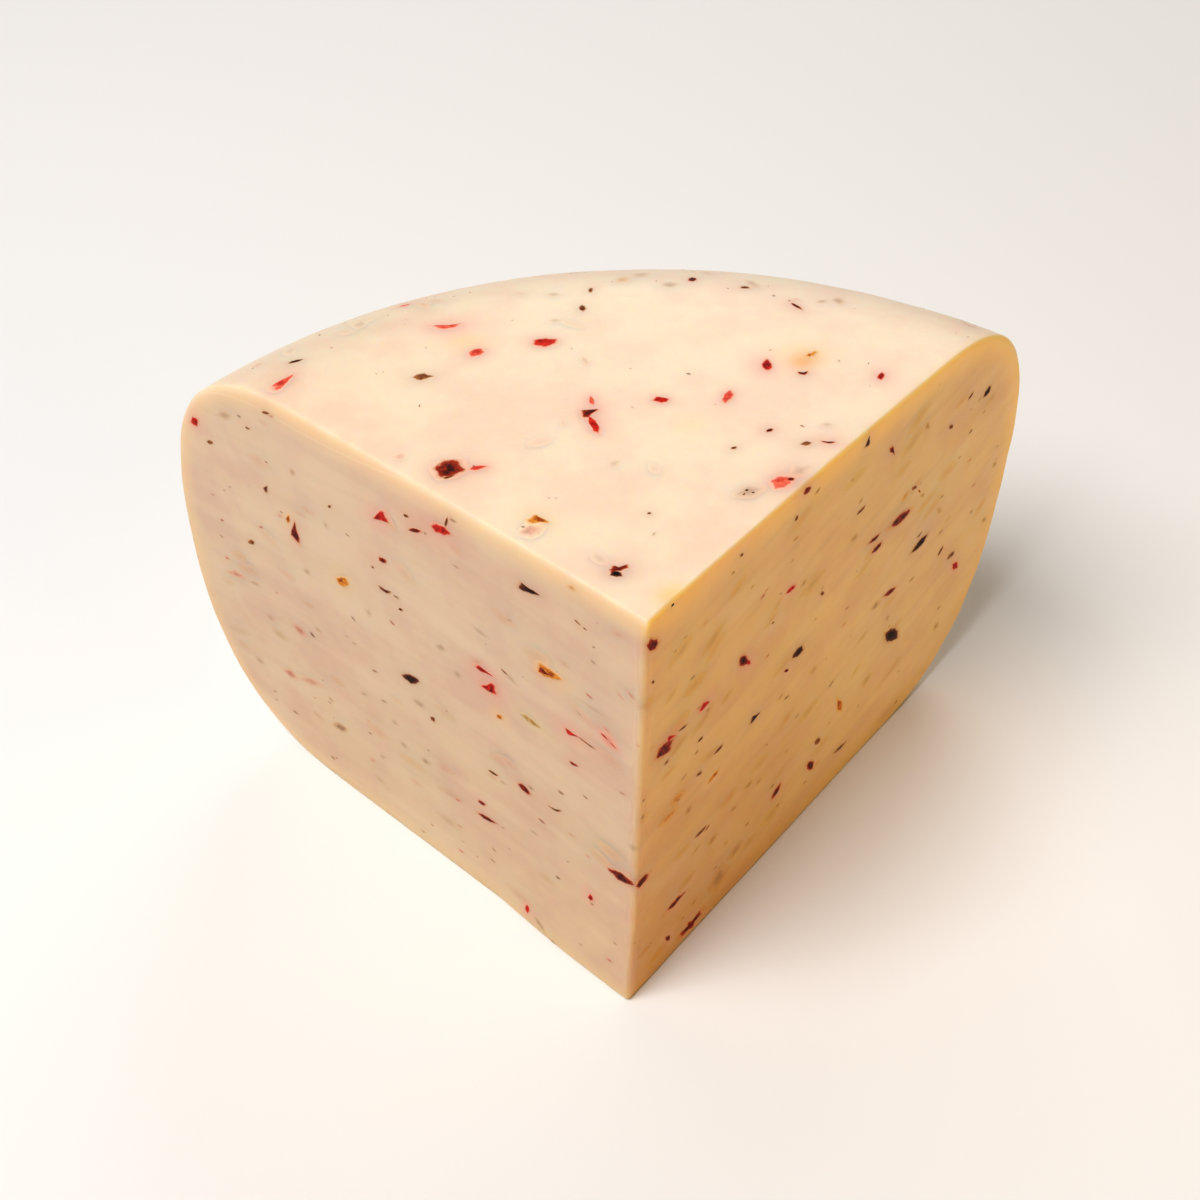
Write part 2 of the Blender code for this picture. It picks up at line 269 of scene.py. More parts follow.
def rim_at(up):
    """Radius of the round's skin at a height, and its share of the shoulder's height. On the
    upper half the crown's fall depends on the radius in turn, so both are found in rounds."""
    upper = up > HEIGHT / 2
    radius = np.full(np.shape(up), RIM_RADIUS)
    for _ in range(RIM_ROUNDS):
        below = HEIGHT - TOP_CROWN * (radius / FLAT_RADIUS) ** 2 - up
        high = np.clip(1 - np.where(upper, below / UPPER_DROP, 2 * up / HEIGHT), 0, 1)
        wide = (1 - high**SHOULDER_POWER) ** (1 / SHOULDER_POWER)
        radius = FLAT_RADIUS + SHOULDER_WIDTH * wide
    return radius, high


def skin_depth(points):
    """Distance under the round's skin, and how far the way out to it leans and rises: one
    minus the superellipse's own measure, over the length of its slope, and the plain distance
    to the top or foot inside the flat radius."""
    radius = np.linalg.norm(points[..., :2] - MIDDLE, axis=-1)
    up = points[..., 2]
    upper = up > HEIGHT / 2
    below = HEIGHT - TOP_CROWN * (radius / FLAT_RADIUS) ** 2 - up
    tall = np.where(upper, UPPER_DROP, HEIGHT / 2)
    near = np.where(upper, below, up)
    wide = np.clip((radius - FLAT_RADIUS) / SHOULDER_WIDTH, 1e-6, 1)
    high = np.clip(1 - near / tall, 1e-6, 1)
    measure = (wide**SHOULDER_POWER + high**SHOULDER_POWER) ** (1 / SHOULDER_POWER)
    power = SHOULDER_POWER - 1
    lean, rise = wide**power / SHOULDER_WIDTH, high**power / tall
    flat = radius < FLAT_RADIUS
    depth = np.where(flat, near, (1 - measure) * measure**power / np.hypot(lean, rise))
    return depth, np.where(flat, 0, lean), np.where(flat, 1, rise) * np.where(upper, 1, -1)


def on_cuts(along, up):
    """Points and outward directions on the cuts. Along is level from the tip's corner, minus
    on the left cut and plus on the right one, and turns round the tip's rounding between
    them. Places past the cut's outline are drawn back to it, and near it the cut draws in as
    the quarter ellipse of its edge's rounding does."""
    side = np.where(along < 0, -1.0, 1.0)
    cut_way = np.where((along < 0)[..., None], LEFT_ALONG, RIGHT_ALONG)
    start = cut_way[..., :2] @ INNER_TIP
    turn = side * TIP_TURN * np.minimum(np.abs(along) / start, 1)
    out = np.stack([np.sin(turn), -np.cos(turn), 0 * turn], -1)
    inset = round_tip(turn, *ROUNDS)
    radius, high = rim_at(up)
    limit = np.where(along < 0, reach(radius, -CUT_ANGLE), reach(radius, CUT_ANGLE))
    beyond = np.clip(np.abs(along) - start, 0, limit)[..., None]
    points = np.append(INNER_TIP, 0) + out * inset[..., None] + cut_way * beyond
    crown = TOP_CROWN * (np.linalg.norm(points[..., :2] - MIDDLE, axis=-1) / FLAT_RADIUS) ** 2
    points[..., 2] = np.clip(up, 0, HEIGHT - crown)
    fall = inset + (round_tip(turn, *FALLS) - inset) * high
    fall = np.where(up > HEIGHT / 2, fall, inset)
    depth, lean, rise = skin_depth(points)
    left_over = np.clip(1 - depth / fall, 0, 1)
    gone = np.sqrt(1 - left_over**2)
    edge_way = cut_way * lean[..., None]
    edge_way[..., 2] = rise
    points = points - out * (inset * (1 - gone))[..., None]
    ways = out * (fall * gone)[..., None] + unit(edge_way) * (inset * left_over)[..., None]
    return points, unit(ways)


def on_top(across, back):
    """Points and outward directions on the top, across and back from the tip's corner. Places
    past an edge's rounding are drawn back to it."""
    plan = np.stack([across, back], -1)
    for out, inset in zip((LEFT_OUT[:2], RIGHT_OUT[:2]), ROUNDS):
        plan = plan - out * np.maximum(plan @ out + inset, 0)[..., None]
    radius = np.linalg.norm(plan - MIDDLE, axis=-1)
    wide = np.clip((radius - FLAT_RADIUS) / SHOULDER_WIDTH, 0, 1)
    return skin(plan, wide, (1 - wide**SHOULDER_POWER) ** (1 / SHOULDER_POWER), True)


def on_side(around, down):
    """Points and outward directions on the outer side: around the rim from the middle line,
    and down along the skin from the upper shoulder's start to the lower one's end."""
    turn, length = shoulder_turns(SIDE_STEPS)
    half = length[-1]
    upper = down < half
    wide, high = shoulder_shares(np.interp(np.where(upper, down, 2 * half - down), length, turn))
    radius = FLAT_RADIUS + SHOULDER_WIDTH * wide
    plan = MIDDLE + way(around / RIM_RADIUS) * radius[..., None]
    over, over_way = skin(plan, wide, high, True)
    under, under_way = skin(plan, wide, high, False)
    pick = upper[..., None]
    return np.where(pick, over, under), np.where(pick, over_way, under_way)


SURFACES = {"cuts": on_cuts, "top": on_top, "side": on_side}


# Kinds of flake, each one mesh: what it is, its colours from its folds to its thin parts and its
# torn edge, the colour it bleeds and how strongly, and the wide stain round it and how strong
KINDS = {
    "coral": ("soaked red chilli skin",
        "#C03024", "#DE4430", "#EC6A4C", "#E86A52", "#F09C84", 0.75, "#F0A08A", 0.55),
    "red": ("dried red chilli skin",
        "#780602", "#BE1006", "#D82A16", "#CE2C18", "#E48068", 0.75, "#EE9A85", 0.55),
    "maroon": ("dark dried chilli skin",
        "#2C0602", "#5A0E04", "#92220C", "#AA3010", "#D07E52", 0.70, "#DE9C80", 0.45),
    "amber": ("dried orange pepper",
        "#963C0A", "#CC701A", "#E09434", "#DE8E34", "#E8AC62", 0.65, "#F0BE80", 0.50),
    "brown": ("crushed chilli stalk",
        "#4A1E0A", "#723818", "#965A30", "#A66438", "#C8966C", 0.65, "#DDB088", 0.35),
    "black": ("cracked black pepper",
        "#0A0200", "#180602", "#3C1206", "#742C12", "#BC8058", 0.60, "#CFA688", 0.35),
    "herb": ("dried herb leaf",
        "#94682E", "#B28446", "#CEA66C", "#CAA26A", "#DCC090", 0.60, "#E8CE8C", 0.40),
    "grey": ("pepper husk under paste",
        "#684434", "#84604C", "#A07A64", "#AA866E", "#C4A088", 0.30, "#C8AE98", 0.20),
    "rose": ("chilli skin under paste",
        "#A8382E", "#C45446", "#D87864", "#DA8470", "#E29C88", 0.40, "#E4A898", 0.35),
}


def rows(table):
    """Rows of a table, without its headings, and with each number read as one."""
    for line in table.strip().splitlines()[1:]:
        yield [w if w[0] == "#" or w[0].isalpha() else float(w) for w in line.split()]


# Outlines as corners in a flake's own half lengths and half widths, each in sight of the middle
OUTLINES = {name: np.reshape(corners, (-1, 2)) for name, *corners in rows("""
name, and each corner along and across
chip -1 -.5 -.7 .8 .2 1 1 .5 .8 -.7 -.1 -1
shard -1 .2 -.4 .9 .5 .6 1 -.3 .2 -1 -.7 -.6
wedge -1 -.7 -.8 .9 -.1 .6 1 .1 .1 -.5 -.6 -1
boot -1 -.1 -.8 .9 -.3 .5 .3 .3 1 .4 .7 -.8 -.5 -.9
leaf -1 .1 -.4 .8 .2 1 .7 .5 1 -.1 .4 -.8 -.2 -1 -.7 -.5
sliver -1 -.2 -.5 .8 .3 .9 1 .3 .4 -.7 -.4 -.9
hook -1 .6 -.5 .5 .1 .3 .7 .6 1 1 .7 -.3 .1 -1 -.6 -.5
tatter -1 .3 -.5 .3 -.3 1 .1 .4 .8 .7 1 -.2 .4 -.4 .2 -1 -.3 -.5 -.8 -.8
""")}

# Flakes that the cuts show. Along is from the tip, minus on the left cut. In this table and the
# next three, places and sizes are in millimetres, and turns are in degrees from level or, on the
# top, from the across direction.
CUT_FLAKES = """
along up length width turn kind outline
-107.6 80.6 3.2 1.6 40 red leaf
-104 77.6 2 0.9 25 brown sliver
-88.9 75.2 2.3 1.2 55 brown wedge
-82.3 68.6 5 2.5 80 maroon wedge
-83.7 70.8 2.4 1 65 amber sliver
-70.4 63.7 3.8 1.9 35 amber chip
-96.3 57.4 2.3 1 30 brown sliver
-71.2 81.2 1.3 0.6 45 brown sliver
-85.2 94.4 2.2 0.7 20 brown sliver
-91.5 87.6 1.7 0.5 10 brown sliver
-58.3 86.4 4.6 2.4 215 red wedge
-58.7 76.2 1.9 1 20 maroon chip
-61.4 72.9 0.8 0.5 0 brown chip
-58.8 69 3.8 1.1 10 brown hook
-55.2 66.6 1.2 0.8 20 brown chip
-49.6 88.6 3.4 0.9 25 maroon sliver
-51.5 90.8 1.3 0.7 20 brown chip
-43.2 92.6 4.2 2 20 red shard
-41.8 95.2 2.8 0.7 70 brown sliver
-23.7 91.7 5.2 2.1 8 black wedge
-13.8 91.3 1.5 0.4 -20 brown sliver
-12.3 90.9 0.8 0.4 -20 brown sliver
-19.4 75.4 5.6 3 10 amber wedge
-20.4 74.9 3.8 1.7 8 maroon wedge
-34.7 65.2 4 1.3 0 red wedge
-34 61.6 3.8 2.6 200 red wedge
-33.6 61.4 1.8 1.3 20 maroon shard
-31.8 55.9 1.6 1.1 30 amber chip
-24.2 60.5 4.4 1.3 -5 herb sliver
-14.9 64.3 2.8 1.4 10 red wedge
-11.6 64.5 3.6 0.5 -5 brown sliver
-8 69.1 1.7 0.5 -20 red sliver
-6 68.3 1.6 0.4 -25 red sliver
-14.5 57 2.2 0.9 5 maroon sliver
-30.3 68.3 1.7 0.5 -20 brown sliver
-54.2 49.5 5.6 2.1 22 black leaf
-49 42.5 1.3 1.1 30 brown chip
-26.2 41 2.4 1.7 -20 maroon chip
-18.8 41.3 3 0.9 20 brown hook
-33.8 39.2 2 0.8 5 brown chip
-3.6 35.1 6.6 2.2 5 maroon leaf
-37.4 27.7 1.8 1.1 10 maroon chip
-36.4 23.9 4.4 1.3 8 maroon sliver
-10.5 22.7 2 1.1 75 red chip
-26.1 4.9 2.2 1 80 red chip
1.9 94.2 3.8 2 -40 maroon chip
6.6 99.2 0.7 0.5 0 black chip
2.4 85.7 1 0.5 -45 brown chip
24.8 96.1 1 0.6 -40 brown chip
42.4 97.8 2.4 1.3 -25 maroon chip
40.2 93.2 1.1 0.8 80 brown chip
60.9 96.4 2.8 1.5 80 black wedge
70.7 87.9 3 1.1 -60 maroon wedge
92.8 79.6 2.2 1 -40 brown leaf
98.8 83.3 1.7 1 20 brown chip
106 80 2.3 1.9 10 black chip
62.2 79.9 2.2 0.9 5 brown chip
41.2 76.3 2.8 1.1 -10 red chip
36.7 71.7 1 0.5 -30 brown sliver
6 66.5 4.4 3 -15 maroon chip
8 67.8 2.8 1.3 -25 red wedge
11 67.4 3 0.6 -15 brown sliver
17.6 67.6 2.8 1.9 -20 red wedge
7.2 62.3 1 0.7 0 brown chip
16.8 59.4 1.2 0.8 0 brown chip
28.4 69.2 4.2 1.9 -50 maroon leaf
30 67.3 2.6 0.8 -55 red sliver
52.3 67.1 1.8 0.8 -50 brown chip
46.5 56.9 4.2 2.8 -12 black shard
43.1 54.7 1.4 0.7 -40 maroon chip
34.2 50.1 2.9 1.7 -5 black wedge
23 51.2 2.8 1 0 brown chip
69 68.3 3.2 1.2 -10 maroon sliver
70.8 65 3.4 1.4 -5 maroon chip
78.3 66.8 7.2 2.3 -8 maroon leaf
82.2 71.8 2.2 0.9 -35 brown leaf
84.6 69.3 1.6 0.5 -50 amber sliver
89.3 52.9 6.2 2.2 5 black leaf
79.8 46.8 4.8 1.5 -15 maroon leaf
99.6 43.3 2 1.3 40 brown chip
104.8 38.3 3 1.5 -10 brown chip
108.3 32.9 3.8 1.7 -45 red leaf
83.5 31.7 8.4 3.1 -43 black leaf
17.4 49.8 1.8 0.9 -20 brown chip
21.9 44.6 3 1.3 10 amber chip
1.9 35 4.2 2.4 -15 maroon chip
19.5 31.2 3.8 1.2 -5 brown leaf
13 16.8 5.2 1.7 -3 maroon leaf
11.3 7.3 2.8 1.1 -60 maroon leaf
18.8 3.6 6.2 3.4 0 maroon tatter
45.3 18.3 3.4 2.4 30 maroon chip
57.5 15 4.8 2 -60 maroon leaf
59.2 20.8 2.7 1.5 -50 brown chip
66 25.6 5.6 1.8 -65 amber leaf
69.2 9.7 4.6 1.2 -5 brown leaf
"""

# Flakes on the top, across and back from the tip
TOP_FLAKES = """
across back length width turn kind outline
-4 51.8 2.8 1.9 20 maroon wedge
-3.7 48.3 4.8 1.5 100 red sliver
-3.5 55 2.4 0.9 90 coral sliver
-27.6 80.2 5.2 2 -5 coral hook
-10.5 73.2 3.8 2.3 5 red chip
-22.5 71.2 2.4 1.8 30 coral chip
-55.8 66.9 5.2 2.2 50 coral wedge
-54.3 73.5 2.8 1.1 10 black sliver
-32 64.8 3.4 1.7 0 brown leaf
-35.3 92.5 1.8 0.9 0 coral chip
-2.8 83.8 2 1 80 brown chip
-0.8 90.5 1.7 0.8 80 brown chip
18.7 94.2 2.3 1.3 70 maroon chip
28 90 1.8 1 0 brown chip
36.3 82.4 2.8 0.9 -60 maroon sliver
8.3 54.6 2.6 1.4 -10 red chip
19.7 54.7 3.2 1.4 60 coral chip
27.8 63.4 3.4 1.5 80 red leaf
36.2 66.4 2.2 1.2 30 amber tatter
33.8 60.8 2 1.2 0 maroon hook
47.2 59.2 1.8 1 60 red chip
-28 38.8 4.4 3.6 30 maroon chip
-28.2 36.9 2.8 0.9 20 brown hook
-23.3 38.8 2.9 1 5 coral leaf
-14.2 24.8 3.4 2.4 -30 amber wedge
-3 12.6 3.2 1.5 10 maroon tatter
-3.4 11.5 1.7 1.1 -5 black chip
25 31.2 3.6 2.4 30 coral chip
26.6 31.8 1.2 0.9 0 maroon chip
30.8 40.8 1.9 1 10 brown leaf
34.5 41 2.8 0.7 -10 maroon hook
25.3 44.8 1.2 0.7 30 maroon chip
18.7 40.5 1 0.6 20 brown chip
3 25 0.7 0.5 0 brown chip
19.2 29.6 0.7 0.4 30 black chip
20.1 28.9 0.5 0.4 0 black chip
18.6 28.6 0.6 0.3 50 brown chip
"""

# Flakes wholly under the surface, which show as blurs
SUNKEN = {
    "cuts": """
along up length width turn kind show
-80.5 83.7 1.6 1.2 70 brown 0.3
-15 98 1.8 1 0 amber 0.5
-2.7 82.8 2.2 0.9 -35 rose 0.4
-4.8 81 2.2 0.7 -35 rose 0.35
-10.5 73.8 6 0.6 0 grey 0.25
-7 68.8 4 2.4 -20 rose 0.35
-7.5 71 2.2 0.8 -25 rose 0.4
-28.8 67.8 3.4 1 -25 grey 0.4
-35.5 74.2 3.6 1 -5 grey 0.35
-52.5 44.2 3.2 1.8 10 grey 0.45
-45.6 63.6 2.6 1.6 15 grey 0.45
-41.7 59.5 2.2 1.2 20 grey 0.35
-80.4 59.8 2.2 1.4 30 grey 0.35
-64 60 1.6 1.6 0 grey 0.25
-85.5 40.8 4 2.4 -15 rose 0.6
-103.5 44.5 5.6 1.6 22 rose 0.55
-97.5 45.8 3.4 1.2 10 grey 0.35
-94.4 38.4 2.6 1.6 20 grey 0.25
-91 24.6 4.6 2.2 10 rose 0.6
-84.5 26.8 8 1.8 22 rose 0.4
-77 18.8 4.6 2 30 brown 0.65
-101 21.2 3 1.4 15 grey 0.35
-58 28 2.6 1.6 10 grey 0.4
-52.2 27.9 2.6 1.5 10 grey 0.5
-68.2 35.2 1.8 1 30 grey 0.3
-68.3 15.4 2 1 30 rose 0.4
-65 19 2 1 30 grey 0.3
-60 33 2 1.4 0 grey 0.3
-22.8 3.4 3.4 1.6 -40 grey 0.5
-19.2 0.9 1.6 1.2 0 brown 0.55
-73 75.8 1.8 1.2 60 grey 0.3
-98 87 4 1.6 30 brown 0.3
-13.4 70.4 2 0.7 -15 grey 0.35
-1.2 45.6 1.6 1.8 90 grey 0.3
82.8 86 2 1 -50 brown 0.4
61.6 82.5 1.4 1 0 brown 0.35
61.2 74 2 1.3 -15 brown 0.4
45.5 74.5 1.4 1.2 0 brown 0.3
42.1 48.5 2 1 0 brown 0.35
78.8 72 2.4 1.8 0 amber 0.5
86.2 67.2 2 0.9 -40 brown 0.4
74.5 47 3 1.6 -10 brown 0.45
118.3 38.9 2.4 1.4 -30 brown 0.45
117.2 54.8 2.4 1.2 -40 brown 0.35
9.3 46 4.6 1.9 -5 amber 0.7
11.5 48.9 3.2 2.4 -20 amber 0.6
15.1 42 1.8 1.4 40 brown 0.4
34.5 30.6 2.4 1.4 -10 brown 0.4
24 24.5 2.6 2 0 brown 0.35
104.8 17.7 3 2 -40 brown 0.4
27.3 9 5 5 0 brown 0.4
32.7 12.5 4 2.6 0 brown 0.3
1.3 53.6 1.2 1.2 0 brown 0.5
95.5 57 2.4 1.2 -40 brown 0.25
53 46.5 2.4 1.6 -20 brown 0.25
76 24.8 3 2.4 0 brown 0.25
""",
    "top": """
across back length width turn kind show
-15.8 22.6 3.6 2.6 20 rose 0.48
-7.7 89.5 2.4 1.6 0 grey 0.28
-8 80 2.2 1.4 0 grey 0.24
14.3 91.7 3.4 2.2 10 grey 0.4
35.2 45.8 2 1.2 0 grey 0.24
19.5 29.3 4.4 2.4 20 grey 0.36
28.5 34 3.6 2.6 30 grey 0.28
-36 43 2 1.4 10 rose 0.28
""",
}

# Wide stains that flakes have bled into the paste
STAINS = {
    "cuts": """
along up length width turn colour strength
10 48 10 9 0 #DC8E34 0.35
88 4.5 8 4 0 #C07A34 0.35
-46.5 91 13 7 0 #DE9E80 0.5
-23.7 91.5 10 6 0 #DCA084 0.45
-11 65 12 7 -15 #DE9E84 0.35
-35 63.5 7 6 0 #E0A084 0.3
7 66.5 9 7 -10 #C48038 0.35
75 67 16 7 -20 #BE7E40 0.3
""",
    "top": """
across back length width turn colour strength
-28 38.8 10 8 0 #F6BCA4 0.5
-3.8 51 8 10 0 #F8BEA8 0.35
27.5 62.5 9 8 0 #F8C0AA 0.45
25 31.5 8 6 0 #F4B8A0 0.4
-3.2 12.5 7 6 0 #EEC0AE 0.4
-27 79 10 7 0 #F8BEA8 0.35
-24 74.8 6 4.5 0 #F4D283 0.45
4.3 6.4 4.8 3.8 40 #F6CC68 0.65
-38 97.5 9 4 -20 #F0BE88 0.5
34.5 66.5 10 8 0 #F4CC8C 0.5
34.4 64.4 5.2 3.8 30 #EE9230 0.85
12 47 6 5 0 #F6D694 0.35
16 60 6 4 0 #F8C8AE 0.35
""",
}

# The outer side: the same cells, seed and order of draws as the solid's own flakes there
RIM_SEED = 11
RIM_BEARINGS = 8
RIM_ROWS = 4
RIM_STRAY = 0.38  # how far a flake strays from its cell's middle, in cells
RIM_CLEAR = math.radians(6.0)  # left free beside either cut
RIM_TURNS = (math.radians(48.0), math.radians(148.0))  # the rows lie between these turns
BELT = math.radians(7.0)  # left free either side of the rim line
RIM_LENGTHS = (2.8, 5.6)  # in millimetres
RIM_WIDTHS = (1.6, 2.6)
RIM_LEAN = 50  # in degrees
RIM_KINDS = ("red", "maroon", "amber", "brown", "coral", "black")

# Fine specks and faint blots, scattered over every surface: how many, least and greatest
# length in millimetres, least and greatest show, and blur
SCATTER = [
    ("cuts", 190, (0.5, 1.8), (0.20, 0.75), 0.5),
    ("cuts", 130, (2.0, 5.5), (0.08, 0.20), 1.0),
    ("top", 100, (0.3, 0.9), (0.20, 0.80), 0.4),
    ("top", 60, (1.5, 4.5), (0.08, 0.24), 1.0),
    ("side", 200, (0.4, 1.2), (0.25, 0.85), 0.5),
    ("side", 80, (2.0, 4.5), (0.10, 0.40), 1.0),
]
SPECK_CLEAR = 0.0012  # least distance from a speck's patch to an edge of the wedge
SPECK_WIDTHS = (0.35, 0.75)  # widths, as shares of the length
CUT_SPECK_WIDTH = 0.5  # the greatest on the cuts, where the specks lie along the streaks
CUT_SPECK_STRAY = 0.2  # how much their turns vary
SPECK_KINDS = ("brown", "brown", "maroon", "grey", "black", "rose")
BLOT_KINDS = ("grey", "rose", "brown", "rose", "amber")
SPECK_SEED = 5
TOP_SPREAD = 0.02  # how far past the flat radius the top's specks go
SIDE_SPREAD = (0.12, 1.85)  # where the side's specks start and end, in lengths of a shoulder
SUNKEN_BLUR = 0.8
BLUR_SINKS = 0.7  # how much lower a wholly blurred chip lies, as a share of its height

# Steps of a flake's and a speck's grid, round it and out from its middle
FLAKE_GRID = (36, 7)
SPECK_GRID = (10, 4)


def torn_edge(corners, angle):
    """Radius of a polygon at each angle: the sine rule in the triangle that the middle makes
    with the two corners on either side."""
    bearing = np.arctan2(corners[:, 1], corners[:, 0]) % (2 * math.pi)
    order = np.argsort(bearing)
    bearing, far = bearing[order], np.hypot(*corners.T)[order]
    after = np.searchsorted(bearing, angle % (2 * math.pi)) % len(bearing)
    before = after - 1
    gap = (bearing[after] - bearing[before]) % (2 * math.pi)
    part = (angle - bearing[before]) % (2 * math.pi)
    return (far[before] * far[after] * np.sin(gap)
            / (far[before] * np.sin(part) + far[after] * np.sin(gap - part)))


def chip(length, width, turn, outline, draw, grid):
    """A torn plate on its patch of paste, as a polar grid with its middle first and the point
    of its underside last. Its corners stray a little from its outline's, straight tears join
    them, and its height is a low dome whose rim dips under."""
    spokes, rings = grid
    angle = np.linspace(0, 2 * math.pi, spokes, endpoint=False)
    corners = OUTLINES[outline]
    corners = corners * draw.uniform(1 - CORNER_STRAY, 1 + CORNER_STRAY, corners.shape)
    edge = torn_edge(corners, angle)
    share = np.concatenate([[0.0], np.repeat(np.linspace(0, 1, rings + 1)[1:], spokes)])
    around = np.concatenate([[0], np.tile(np.arange(spokes), rings)])
    share, around = np.append(share, 0.0), np.append(around, 0)
    x = share * (edge * np.cos(angle))[around] * length / 2 / CHIP_EDGE
    y = share * (edge * np.sin(angle))[around] * width / 2 / CHIP_EDGE
    right = x * math.cos(turn) - y * math.sin(turn)
    up = x * math.sin(turn) + y * math.cos(turn)
    lift = CHIP_PROUD * (1 - CHIP_DIP * share**2)
    lift[-1] = -CHIP_ROOT
    return right, up, lift, share


def chip_faces(grid, start):
    """Triangles of a chip whose middle is point number start: a fan round the middle, rings
    of two for each square, and a fan underneath."""
    spokes, rings = grid
    here = np.arange(spokes)
    after = (here + 1) % spokes
    fan = np.stack([0 * here, 1 + here, 1 + after], -1)
    out = 1 + spokes * np.arange(rings - 1)[:, None]
    inner, inner_after = out + here, out + after
    quads = [
        np.stack([inner, inner + spokes, inner_after + spokes], -1),
        np.stack([inner, inner_after + spokes, inner_after], -1),
    ]
    last = 1 + spokes * (rings - 1)
    under = np.stack([0 * here + last + spokes, last + after, last + here], -1)
    return np.concatenate([fan, *(q.reshape(-1, 3) for q in quads), under]) + start


class Tray:
    """Chips of one kind, gathered into one mesh, with how much each shows and how blurred it
    is by the paste over it."""

    def __init__(self):
        self.points = []
        self.marks = []
        self.faces = []
        self.count = 0

    def add(self, surface, along, up, shape, grid, show=1.0, blur=0.0):
        right, rise, lift, edge = shape
        points, ways = SURFACES[surface](along + right, up + rise)
        points = settle(points, ways) + ways * (lift * (1 - BLUR_SINKS * blur))[:, None]
        self.points.append(points)
        self.marks.append(np.stack([edge, show + 0 * edge, blur + 0 * edge], 1))
        self.faces.append(chip_faces(grid, self.count))
        self.count += len(points)


def rim_flakes():
    """Around, down, length, width and lean of the flakes on the outer side, cell by cell."""
    draw = random.Random(RIM_SEED)
    span = CUT_ANGLE - RIM_CLEAR
    first, last = RIM_TURNS
    turn, length = shoulder_turns(SIDE_STEPS)
    for row in range(RIM_ROWS):
        for column in range(RIM_BEARINGS):
            across = column + 0.5 + draw.uniform(-RIM_STRAY, RIM_STRAY)
            down = row + 0.5 + draw.uniform(-RIM_STRAY, RIM_STRAY)
            bearing = span * (2 * across / RIM_BEARINGS - 1)
            fall = first + (last - first) * down / RIM_ROWS
            size = draw.uniform(*RIM_LENGTHS), draw.uniform(*RIM_WIDTHS)
            lean = draw.uniform(-RIM_LEAN, RIM_LEAN)
            if abs(fall - math.pi / 2) > BELT:
                near = np.interp(min(fall, math.pi - fall), turn, length)
                run = near if fall < math.pi / 2 else 2 * length[-1] - near
                yield bearing * RIM_RADIUS, run, *size, lean


def speck_places(surface, count, clear_by, draw):
    """Random places on a surface, in its own two directions. Those too near an edge of the
    wedge, or beyond it, are left out."""
    if surface == "cuts":
        along = draw.choice([-1, 1], count) * draw.uniform(0, RIM_RADIUS, count)
        up = draw.uniform(0, HEIGHT, count)
        points, _ = on_cuts(along, up)
        clear = skin_depth(points)[0] > clear_by
    else:
        if surface == "top":
            along = draw.uniform(-RIM_RADIUS, RIM_RADIUS, count)
            up = draw.uniform(0, RIM_RADIUS, count)
            near = np.hypot(along, up) < FLAT_RADIUS + TOP_SPREAD
            plan = np.stack([along, up], -1)
        else:
            along = draw.uniform(-CUT_ANGLE, CUT_ANGLE, count) * RIM_RADIUS
            up = draw.uniform(*SIDE_SPREAD, count) * shoulder_turns(SIDE_STEPS)[1][-1]
            near = True
            plan = on_side(along, up)[0][:, :2]
        behind = np.minimum(-(plan @ LEFT_OUT[:2]), -(plan @ RIGHT_OUT[:2]))
        clear = near & (behind > clear_by)
    return along[clear], up[clear]


def scatter():
    """All chips of the wedge, by kind, and the stains round and between them."""
    draw = np.random.default_rng(SPECK_SEED)
    trays = {kind: Tray() for kind in KINDS}
    stains = []
    listed = [("cuts", *row) for row in rows(CUT_FLAKES)]
    listed += [("top", *row) for row in rows(TOP_FLAKES)]
    for number, (around, down, *size, lean) in enumerate(rim_flakes()):
        kind = RIM_KINDS[number % len(RIM_KINDS)]
        outline = list(OUTLINES)[number % len(OUTLINES)]
        listed.append(("side", around / MM, down / MM, *size, lean, kind, outline))
    for surface, along, up, length, width, lean, kind, outline in listed:
        place, size, turn = (along * MM, up * MM), (length * MM, width * MM), math.radians(lean)
        shape = chip(*size, turn, outline, draw, FLAKE_GRID)
        trays[kind].add(surface, *place, shape, FLAKE_GRID)
        wide = [s + 2 * HALO_REACH for s in size]
        stains.append((surface, *place, *wide, turn, *KINDS[kind][-2:]))
    for surface, table in SUNKEN.items():
        for along, up, length, width, lean, kind, show in rows(table):
            shape = chip(length * MM, width * MM, math.radians(lean), "leaf", draw, FLAKE_GRID)
            trays[kind].add(surface, along * MM, up * MM, shape, FLAKE_GRID, show, SUNKEN_BLUR)
    for surface, table in STAINS.items():
        for *sizes, lean, colour, strength in rows(table):
            sizes = [s * MM for s in sizes]
            stains.append((surface, *sizes, math.radians(lean), colour, strength))
    for surface, count, lengths, shows, blur in SCATTER:
        kinds = BLOT_KINDS if blur == 1 else SPECK_KINDS
        clear_by = SPECK_CLEAR + lengths[1] * MM / 2 / CHIP_EDGE
        for along, up in zip(*speck_places(surface, count, clear_by, draw)):
            length = draw.uniform(*lengths) * MM
            width = length * draw.uniform(*SPECK_WIDTHS)
            turn = draw.uniform(0, math.pi)
            if surface == "cuts":
                turn = math.atan(-flow_slope(along)) + draw.normal(0, CUT_SPECK_STRAY)
                width = min(width, length * CUT_SPECK_WIDTH)
            outline = "leaf" if blur == 1 else str(draw.choice(["chip", "shard", "sliver"]))
            shape = chip(length, width, turn, outline, draw, SPECK_GRID)
            kind = str(draw.choice(kinds))
            trays[kind].add(surface, along, up, shape, SPECK_GRID, draw.uniform(*shows), blur)
    return trays, stains


